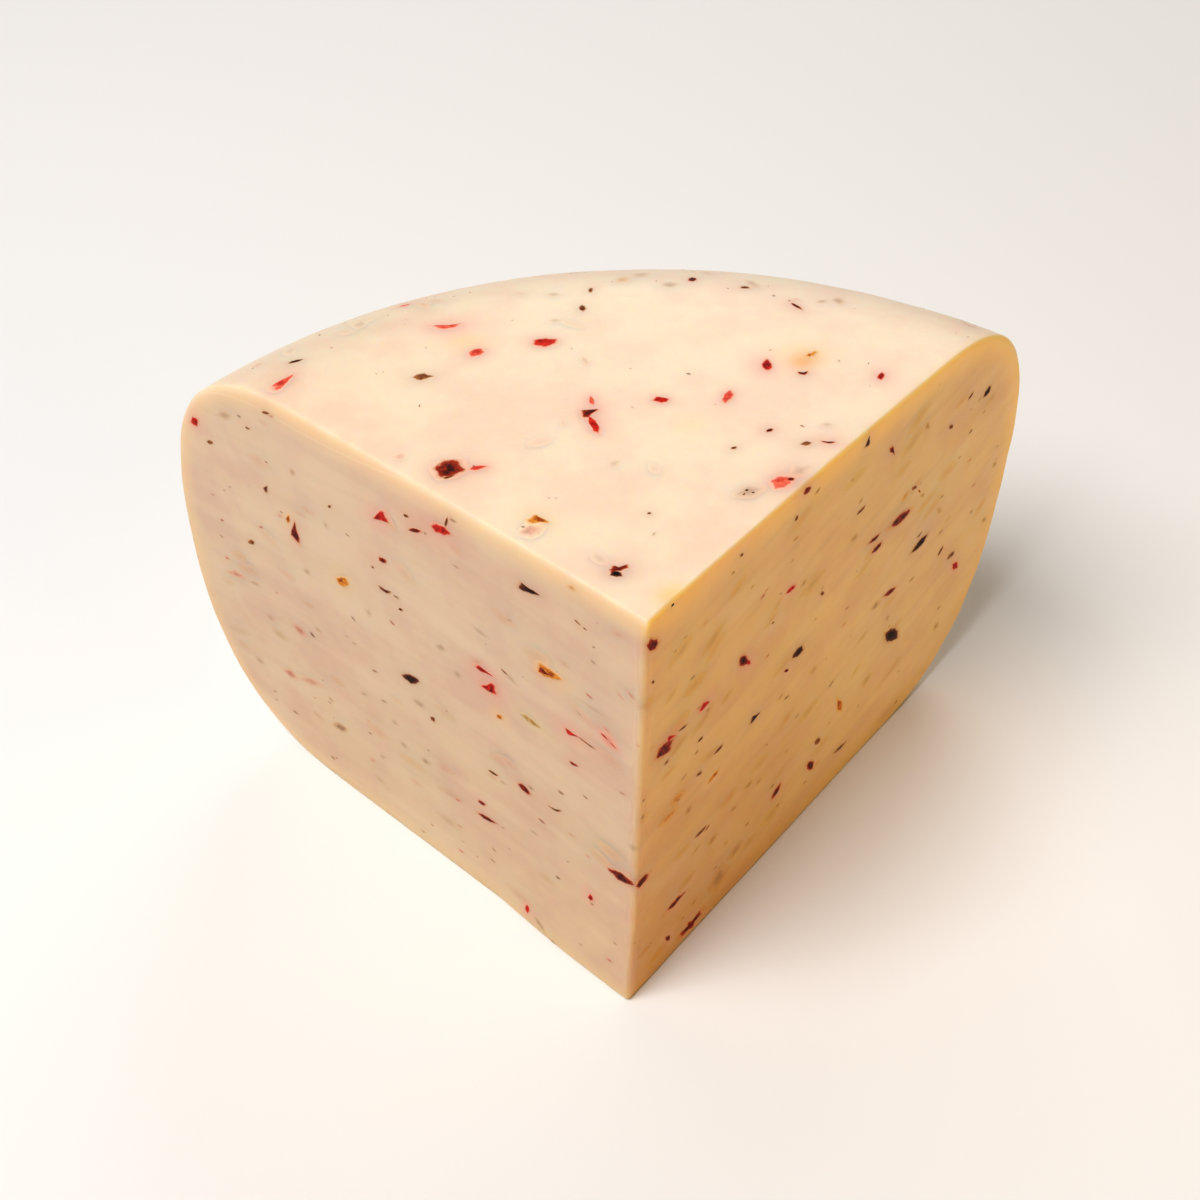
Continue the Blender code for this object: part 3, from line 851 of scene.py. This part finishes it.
def linear(colour):
    """Linear red, green, blue and alpha of an sRGB hex colour."""
    parts = np.array([int(colour[i:i + 2], 16) / 255 for i in (1, 3, 5)])
    parts = np.where(parts <= 0.04045, parts / 12.92, ((parts + 0.055) / 1.055) ** 2.4)
    return (*parts.tolist(), 1.0)


def stain_layer(points, stains):
    """Colour and strength of the stains at each point. A stain is a Gaussian of its length,
    width and depth about its place; strengths join as layers of paint do, and colours as their
    mean weighted by strength."""
    clear = np.ones(len(points))
    colour = np.zeros((len(points), 3))
    weight = np.full(len(points), 1e-6)
    for surface, along, up, length, width, turn, shade, strength in stains:
        step = 1e-4
        ends = np.array([0, math.cos(turn), -math.sin(turn)]) * step
        rises = np.array([0, math.sin(turn), math.cos(turn)]) * step
        (middle, right, rise), ways = SURFACES[surface](along + ends, up + rises)
        offset = points - middle
        x = offset @ unit(right - middle) / (length / 2)
        y = offset @ unit(rise - middle) / (width / 2)
        z = offset @ ways[0] / HALO_DEPTH
        share = strength * np.exp(-(x**2 + y**2) * STAIN_FALL - z**2)
        clear *= 1 - share
        colour += share[:, None] * np.array(linear(shade)[:3])
        weight += share
    return np.concatenate([colour / weight[:, None], (1 - clear)[:, None]], 1)


# The curd flowed in curves: how steeply a streak falls to the right at the tip on the left and
# the right cut, and by how much more for each metre along the left one
LEFT_FLOW = 0.10
RIGHT_FLOW = -0.15
FLOW_BEND = 2.5


def flow_slope(along):
    """How steeply a streak on a cut falls to the right."""
    return np.where(along < 0, LEFT_FLOW + FLOW_BEND * along, RIGHT_FLOW)


# A thin slice was pared off the left cut's top edge; only its painted highlight is drawn, a paler
# band and line along its edge, and the mesh is not cut: its middle along, half its length and
# its greatest depth
PARED = (-0.078, 0.031, 0.0031)


# How far under a surface a point is still partly the cut's, and how wide the change from the
# left cut to the right one is
CUT_FADE = (0.3 * MM, 1.1 * MM)
CUTS_MEET = 2 * MM
UNLIKE = 0.3  # how far apart in the curd the cuts' patterns lie, so that they aren't the same


def paste_layers(points, stains):
    """What each point's paste is coloured by: how far it belongs to a cut and to the right one,
    which carries a warm painted shade, its depth under the skin and under the pared slice, its
    place along, across and under the curd's streaks, and the stains that reach it."""
    left_depth = -(points @ LEFT_OUT)
    right_depth = -(points @ RIGHT_OUT)
    cut = 1 - ease(np.minimum(left_depth, right_depth), *CUT_FADE)
    right = ease(left_depth - right_depth, -CUTS_MEET, CUTS_MEET)
    along = points[:, :2] @ RIGHT_ALONG[:2] * right - points[:, :2] @ LEFT_ALONG[:2] * (1 - right)
    fall = (LEFT_FLOW + FLOW_BEND / 2 * along) * (1 - right) + RIGHT_FLOW * right
    flow = points[:, 2] + along * fall
    depth, _, _ = skin_depth(points)
    middle, half, deepest = PARED
    return {
        "cut": cut,
        # the right cut's share: its colour carries a warm painted shade, and it has stronger
        # streaks and a wider band under the skin
        "shaded_right_cut": cut * right,
        "depth": depth,
        "pared": depth - deepest * (1 - ((along - middle) / half) ** 2),
        "streak": np.stack([along, flow, UNLIKE * right], 1),
        "stain": stain_layer(points, stains),
    }


# Kind of attribute for one, three and four numbers to a point
LAYER_FORMS = {1: ("FLOAT", "value"), 3: ("FLOAT_VECTOR", "vector"), 4: ("FLOAT_COLOR", "color")}


def write_layers(mesh, layers):
    """Put values, vectors or colours, one for each point, into named attributes of the mesh."""
    for name, values in layers.items():
        form, field = LAYER_FORMS[np.size(values) // len(values)]
        layer = mesh.attributes.new(name, form, "POINT")
        layer.data.foreach_set(field, np.asarray(values, np.float32).ravel())


def new_piece(name, points, faces, material):
    mesh = bpy.data.meshes.new(name)
    mesh.from_pydata(points.tolist(), [], faces.tolist())
    mesh.update()
    mesh.materials.append(material)
    mesh.shade_smooth()
    piece = bpy.data.objects.new(name, mesh)
    bpy.context.scene.collection.objects.link(piece)
    return piece


def weld(mesh):
    """Close the seams and poles of a grid, and turn its faces outwards."""
    bm = bmesh.new()
    bm.from_mesh(mesh)
    bmesh.ops.remove_doubles(bm, verts=bm.verts, dist=WELD)
    bmesh.ops.recalc_face_normals(bm, faces=bm.faces)
    bm.to_mesh(mesh)
    bm.free()


def mesh_points(mesh):
    points = np.zeros(len(mesh.vertices) * 3)
    mesh.vertices.foreach_get("co", points)
    return points.reshape(-1, 3)


def make_wedge(material, stains):
    """The wedge's skin and cuts in one closed mesh, with its layers for the paste."""
    points, ways = wedge_grid()
    points = settle(points, ways)
    rings, columns = points.shape[:2]
    ring = np.arange(rings - 1)[:, None] * columns
    here = np.arange(columns)
    after = (here + 1) % columns
    corners = [ring + here, ring + after, ring + columns + after, ring + columns + here]
    faces = np.stack(corners, -1).reshape(-1, 4)
    wedge = new_piece("wedge", points.reshape(-1, 3), faces, material)
    weld(wedge.data)
    write_layers(wedge.data, paste_layers(mesh_points(wedge.data), stains))
    return wedge


def make_flakes(name, finish, tray, stains):
    """All flakes of one kind, each on its patch of stained paste, in one mesh."""
    points = np.concatenate(tray.points)
    flakes = new_piece(name, points, np.concatenate(tray.faces), finish)
    write_layers(flakes.data, paste_layers(points, stains))
    write_layers(flakes.data, dict(zip(("edge", "show", "blur"), np.concatenate(tray.marks).T)))
    flakes.data.set_sharp_from_angle(angle=CHIP_CREASE)
    return flakes


def add(tree, kind, sockets=None, out=None, **settings):
    """Add a node with its settings, and fill its sockets: one that is given another node's
    output is linked to it, and any other holds the value. Returns the output asked for, or
    the node itself."""
    node = tree.nodes.new(kind)
    for name, value in settings.items():
        setattr(node, name, value)
    for name, value in (sockets or {}).items():
        if isinstance(value, bpy.types.NodeSocket):
            tree.links.new(value, node.inputs[name])
        else:
            node.inputs[name].default_value = value
    return node if out is None else node.outputs[out]


def new_material(name):
    """An empty material with its Principled shader, and its node tree."""
    material = bpy.data.materials.new(name)
    material.use_nodes = True
    tree = material.node_tree
    return material, tree, tree.nodes["Principled BSDF"]


def link_shader(tree, shader, **links):
    """Link node outputs to the shader's sockets, whose names have a space for each underscore."""
    for name, output in links.items():
        tree.links.new(output, shader.inputs[name.replace("_", " ")])


# Sockets of the Mix node when it mixes colours, and of the Map Range node
MIX_SHARE, MIX_UNDER, MIX_OVER, MIX_OUT = 0, 6, 7, 2
SPAN = ("Value", "From Min", "From Max", "To Min", "To Max")

# The paste's coats in their order: name, what shares it out, the coat or colour under and over
# it, and how they mix
COATS = [
    ("skin", "cloud", "#EFD8B8", "#EECEB1", "MIX"),
    ("skin", "wisp", "skin", "#F2DEC4", "MIX"),
    # the cuts' colour, deeper and warmer than the skin's: partly the paste's own colour, partly
    # painted shade of the upright cuts
    ("inside", "cloud", "#E5C49C", "#E0B896", "MIX"),
    ("inside", "wisp", "inside", "#E9CBA6", "MIX"),
    ("inside", "band", "inside", "#EFD2AA", "MIX"),
    ("inside", "streak", "inside", "#C49A76", "MIX"),
    # the right cut's band under the skin: painted glow of light through the lit top, darker lower
    # down with painted shade; the left cut's band is the rind's own colour
    ("right rind glow and shade", "low", "#FFDA8E", "#E2B87C", "MIX"),
    ("rind", "shaded_right_cut", "#F5D096", "right rind glow and shade", "MIX"),
    ("inside", "under skin", "inside", "rind", "MIX"),
    ("inside", "pared edge highlight", "inside", "#F6E2BA", "MIX"),
    # painted shade, which multiplies the cuts' colour: faint on the left cut and darker towards
    # the floor, warm on the right cut, darkest low near the tip and lighter far out
    ("left cut shade", "low", "#F3F1F6", "#F0EAE6", "MIX"),
    ("right shade near tip", "low", "#FFEDAC", "#E4C058", "MIX"),
    ("right shade far out", "low", "#FFF4BC", "#FFF6C4", "MIX"),
    ("right cut shade", "far", "right shade near tip", "right shade far out", "MIX"),
    ("tone", "shaded_right_cut", "left cut shade", "right cut shade", "MIX"),
    ("inside", "whole", "inside", "tone", "MULTIPLY"),
    ("shade", "cut", "skin", "inside", "MIX"),
    ("shade", "stained", "shade", "stain", "MIX"),
]


class PasteShade:
    """The paste's colour and roughness, by its layers: pale cream with rosy and yellow clouds
    where chilli has coloured the milk, deeper and warmer on the cuts, partly the paste's own
    colour and partly painted shade of the upright cuts, with the streaks of the pressed curd, a
    yellower band under the skin, on the right cut partly a painted glow of light through the lit
    top, and a paler painted highlight along the pared slice's edge. Painted shade darkens the
    cuts towards the floor, and the right cut takes a warm, browner painted shade, deepest low
    near the tip."""

    def __init__(self, tree):
        self.place = place = add(tree, "ShaderNodeTexCoord", out="Object")
        layer = {}
        for name in ("cut", "shaded_right_cut", "depth", "pared", "streak", "stain"):
            layer[name] = add(tree, "ShaderNodeAttribute", attribute_name=name).outputs
        shaded_right_cut, depth, pared = (layer[name]["Fac"] for name in ("shaded_right_cut", "depth", "pared"))
        along = add(tree, "ShaderNodeSeparateXYZ", {"Vector": layer["streak"]["Vector"]}, "X")
        height = add(tree, "ShaderNodeSeparateXYZ", {"Vector": place}, "Z")
        stretched = add(tree, "ShaderNodeMapping", {  # streaks of 18 by 2.6 mm
            "Vector": layer["streak"]["Vector"], "Scale": (55, 380, 100)}, "Vector")
        clouds, wisps, bands, self.streaks = (
            add(tree, "ShaderNodeTexNoise", {
                "Vector": vector, "Scale": scale, "Detail": detail, "Roughness": rough}, "Fac")
            for vector, scale, detail, rough in (
                (place, 62, 3, 0.6),  # clouds of about 16 mm
                (place, 210, 3, 0.6),  # wisps of about 5 mm
                (stretched, 0.37, 2, 0.5),  # bands of 49 by 7 mm
                (stretched, 1, 1.6, 0.5)))
        streaked, rind_end = (  # both are greater on the right cut
            add(tree, "ShaderNodeMath", {0: shaded_right_cut, 1: more, 2: least}, 0,
                operation="MULTIPLY_ADD")
            for more, least in ((0.08, 0.12), (0.0020, 0.0060)))
        made = {"cut": layer["cut"]["Fac"], "shaded_right_cut": shaded_right_cut, "whole": 1.0,
                "stain": layer["stain"]["Color"], "stained": layer["stain"]["Alpha"]}
        for name, *row in (  # what each share comes from, its span there and its own span
                ("cloud", clouds, 0.40, 0.62, 0.0, 1.0),
                ("wisp", wisps, 0.44, 0.70, 0.0, 0.3),
                ("band", bands, 0.44, 0.62, 0.0, 0.35),
                ("streak", self.streaks, 0.50, 0.78, 0.0, streaked),
                # how far out along a cut and how low a point lies, which spread the painted shade
                # and the painted glow
                ("far", along, 0.010, 0.090, 0.0, 1.0),
                ("low", height, 0.005, 0.075, 1.0, 0.0),
                ("under skin", depth, 0.0008, rind_end, 0.75, 0.0),
                # a paler band over the pared slice and a line at its edge: painted highlight
                ("over line", pared, -0.00016, -0.00002, 0.0, 0.40),
                ("under line", pared, 0.00002, 0.00030, 1.0, 0.0),
                ("rough", wisps, 0.3, 0.7, 0.38, 0.50)):
            made[name] = add(tree, "ShaderNodeMapRange", dict(zip(SPAN, row)), "Result",
                             interpolation_type="SMOOTHSTEP")
        made["pared edge highlight"] = add(
            tree, "ShaderNodeMath", {0: made["over line"], 1: made["under line"]}, 0,
            operation="MULTIPLY")
        for name, share, under, over, mixed in COATS:
            under, over = (linear(c) if c[0] == "#" else made[c] for c in (under, over))
            made[name] = add(tree, "ShaderNodeMix", {
                MIX_SHARE: made[share], MIX_UNDER: under, MIX_OVER: over}, MIX_OUT,
                data_type="RGBA", blend_type=mixed)
        self.colour = made["shade"]
        self.roughness = made["rough"]
        self.cut = made["cut"]


def pressed_paste():
    """Pressed curd paste, waxy and full of milk fat. Light enters it and comes out a few
    millimetres away, so its edges glow and its relief looks soft."""
    material, tree, shader = new_material("pressed cheese paste")
    paste = PasteShade(tree)
    grain = add(tree, "ShaderNodeTexNoise", {  # curd grain of about 0.8 mm
        "Vector": paste.place, "Scale": 1200, "Detail": 2, "Roughness": 0.6}, "Fac")
    height = add(tree, "ShaderNodeMath", {0: grain, 1: paste.streaks}, 0, operation="ADD")
    cloth = add(tree, "ShaderNodeTexVoronoi", {  # dots of the cheesecloth, 1.3 mm apart
        "Vector": paste.place, "Scale": 770, "Randomness": 0.25}, "Distance")
    bare = add(tree, "ShaderNodeMapRange", dict(zip(SPAN, (  # the cuts have no such dots
        paste.cut, 0, 0.6, 0.6, 0))), "Result")
    height = add(tree, "ShaderNodeMath", {0: cloth, 1: bare, 2: height}, 0,
                 operation="MULTIPLY_ADD")
    bump = add(tree, "ShaderNodeBump", {
        "Height": height, "Strength": 0.5, "Distance": 0.00006}, "Normal")
    for name, value in (("Subsurface Weight", 0.55), ("Subsurface Radius", (1.0, 0.45, 0.18)),
                        ("Subsurface Scale", 0.006), ("IOR", 1.45)):
        shader.inputs[name].default_value = value
    link_shader(tree, shader, Base_Color=paste.colour, Roughness=paste.roughness, Normal=bump)
    return material


def dried_skin(name, deep, middle, light, rim, halo, bleed):
    """Dried chilli skin, seed or herb in wet paste: a thin leathery plate, dull and dark in its
    folds, redder and clearer at its torn edge, which bleeds its colour into the paste round
    it. One that lies deeper shows weaker and softer."""
    material, tree, shader = new_material(name)
    paste = PasteShade(tree)
    edge, show, blur = (
        add(tree, "ShaderNodeAttribute", out="Fac", attribute_name=mark)
        for mark in ("edge", "show", "blur"))
    folds, tears = (
        add(tree, "ShaderNodeTexNoise", {
            "Vector": paste.place, "Scale": scale, "Detail": detail, "Roughness": 0.6}, "Fac")
        for scale, detail in ((800, 2), (700, 3)))  # folds of 1.2 mm, and tears of 1.4 mm
    ramp = add(tree, "ShaderNodeValToRGB", {"Fac": folds})
    stops = ramp.color_ramp.elements
    stops[0].position, stops[0].color = 0.41, linear(deep)
    stops[1].position, stops[1].color = 0.66, linear(light)
    stops.new(0.52).color = linear(middle)
    torn, reach_out, inner, outer = (
        add(tree, "ShaderNodeMath", {0: value, 1: times, 2: plus}, 0, operation="MULTIPLY_ADD")
        for value, times, plus in (
            (tears, TEAR_DEPTH, edge), (show, bleed, 0.0), (blur, -0.58, 0.85),
            (blur, 0.16, 0.98)))
    rimmed, haloed, flaked = (
        add(tree, "ShaderNodeMapRange", dict(zip(SPAN, (torn, *row))), "Result",
            interpolation_type="SMOOTHSTEP")
        for row in ((0.58, 0.92, 0.0, 0.85), (0.84, 1.18, reach_out, 0.0),
                    (inner, outer, show, 0.0)))
    flake, stained = (
        add(tree, "ShaderNodeMix", {MIX_SHARE: share, MIX_UNDER: under, MIX_OVER: linear(over)},
            MIX_OUT, data_type="RGBA")
        for share, under, over in (
            (rimmed, ramp.outputs["Color"], rim), (haloed, paste.colour, halo)))
    shade = add(tree, "ShaderNodeMix", {
        MIX_SHARE: flaked, MIX_UNDER: stained, MIX_OVER: flake}, MIX_OUT, data_type="RGBA")
    dull = add(tree, "ShaderNodeMath", {0: flaked, 1: 0.25, 2: paste.roughness}, 0,
               operation="MULTIPLY_ADD")
    height = add(tree, "ShaderNodeMath", {0: folds, 1: flaked}, 0, operation="MULTIPLY")
    bump = add(tree, "ShaderNodeBump", {
        "Height": height, "Strength": 0.6, "Distance": 0.0001}, "Normal")
    shader.inputs["IOR"].default_value = 1.42
    shader.inputs["Specular IOR Level"].default_value = 0.12
    link_shader(tree, shader, Base_Color=shade, Roughness=dull, Normal=bump)
    return material


def dress():
    """Make every piece, move it into place and hand it to the frame."""
    trays, stains = scatter()
    wedge = make_wedge(pressed_paste(), stains)
    points = mesh_points(wedge.data)
    low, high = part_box("cheese_wedge")
    shift = Vector((
        (low.x + high.x) / 2 - (points[:, 0].min() + points[:, 0].max()) / 2,
        low.y - points[:, 1].min(),
        low.z - points[:, 2].min(),
    ))
    pieces = [wedge]
    for kind, tray in trays.items():
        finish = dried_skin(*KINDS[kind][:-2])
        pieces.append(make_flakes(kind + "_flakes", finish, tray, stains))
    for piece in pieces:
        piece.data.transform(Matrix.Translation(shift))
        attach(piece, "root")
    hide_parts("cheese_wedge")
    return shift


# The photograph's view: where the camera stands about the tip's upright edge
VIEW_BEARING = math.radians(-5.57)
VIEW_RISE = math.radians(44.62)
VIEW_ROLL = math.radians(0.87)
VIEW_DISTANCE = 0.28757
VIEW_RIGHT = -0.00693
VIEW_UP = 0.03927
LENS = 51.70  # millimetres
SENSOR = 36


def look(back, roll):
    """Rotation of a camera that looks against the back direction, with a roll."""
    right = Vector((0, 0, 1)).cross(back).normalized()
    up = back.cross(right)
    across = right * math.cos(roll) + up * math.sin(roll)
    upward = up * math.cos(roll) - right * math.sin(roll)
    return Matrix((across, upward, back)).transposed(), right, up


def make_camera(tip):
    back = Vector((
        math.sin(VIEW_BEARING) * math.cos(VIEW_RISE),
        -math.cos(VIEW_BEARING) * math.cos(VIEW_RISE),
        math.sin(VIEW_RISE),
    ))
    turn, right, up = look(back, VIEW_ROLL)
    aim = tip + Vector((0, 0, HEIGHT / 2))
    place = aim + back * VIEW_DISTANCE + right * VIEW_RIGHT + up * VIEW_UP
    data = bpy.data.cameras.new("camera")
    data.lens = LENS
    data.sensor_width = SENSOR
    data.clip_start = 0.01
    camera = bpy.data.objects.new("camera", data)
    camera.matrix_world = Matrix.Translation(place) @ turn.to_4x4()
    bpy.context.scene.collection.objects.link(camera)
    bpy.context.scene.camera = camera


def softbox(name, place, size, power, colour):
    """A square area light that faces the cheese."""
    data = bpy.data.lights.new(name, "AREA")
    data.size = size
    data.energy = power
    data.color = linear(colour)[:3]
    light = bpy.data.objects.new(name, data)
    turn, _, _ = look((Vector(place) - Vector(LIT)).normalized(), 0.0)
    light.matrix_world = Matrix.Translation(Vector(place)) @ turn.to_4x4()
    bpy.context.scene.collection.objects.link(light)


# Lights: name, place, size, power in watts and colour
SOFTBOXES = [
    ("key light", (-0.55, -0.35, 1.15), 0.7, 18.0, "#FFFFFF"),
    ("warm light", (0.95, -0.60, 0.25), 0.6, 4.5, "#FFCB59"),
    ("back light", (0.3, 1.2, 0.7), 0.8, 6.0, "#FFFFFF"),
]
LIT = (0, 0, 0.05)  # what they all face
FLOOR_HALF = 3
FLOOR_GAP = 0.1 * MM


def make_studio():
    """A wide pale floor, a large soft light above and to the left, a weak warm one on the
    right, one behind, and an even pale surround."""
    corners = np.array([(-1, -1, 0), (1, -1, 0), (1, 1, 0), (-1, 1, 0)])
    points = corners * FLOOR_HALF - (0, 0, FLOOR_GAP)
    paper, tree, shader = new_material("matt white paper")
    grain = add(tree, "ShaderNodeTexNoise", {"Scale": 40, "Detail": 2}, "Fac")
    bump = add(tree, "ShaderNodeBump", {
        "Height": grain, "Strength": 0.05, "Distance": 0.001}, "Normal")
    shader.inputs["Base Color"].default_value = linear("#F1EFED")
    shader.inputs["Roughness"].default_value = 0.9
    link_shader(tree, shader, Normal=bump)
    new_piece("floor", points, np.array([(0, 1, 2, 3)]), paper)
    for box in SOFTBOXES:
        softbox(*box)
    world = bpy.data.worlds.new("surround")
    world.use_nodes = True
    surround = world.node_tree.nodes["Background"]
    surround.inputs["Color"].default_value = linear("#FFF0DC")
    surround.inputs["Strength"].default_value = 0.06
    bpy.context.scene.world = world
    bpy.context.scene.view_settings.view_transform = "Standard"


make_camera(dress())
make_studio()
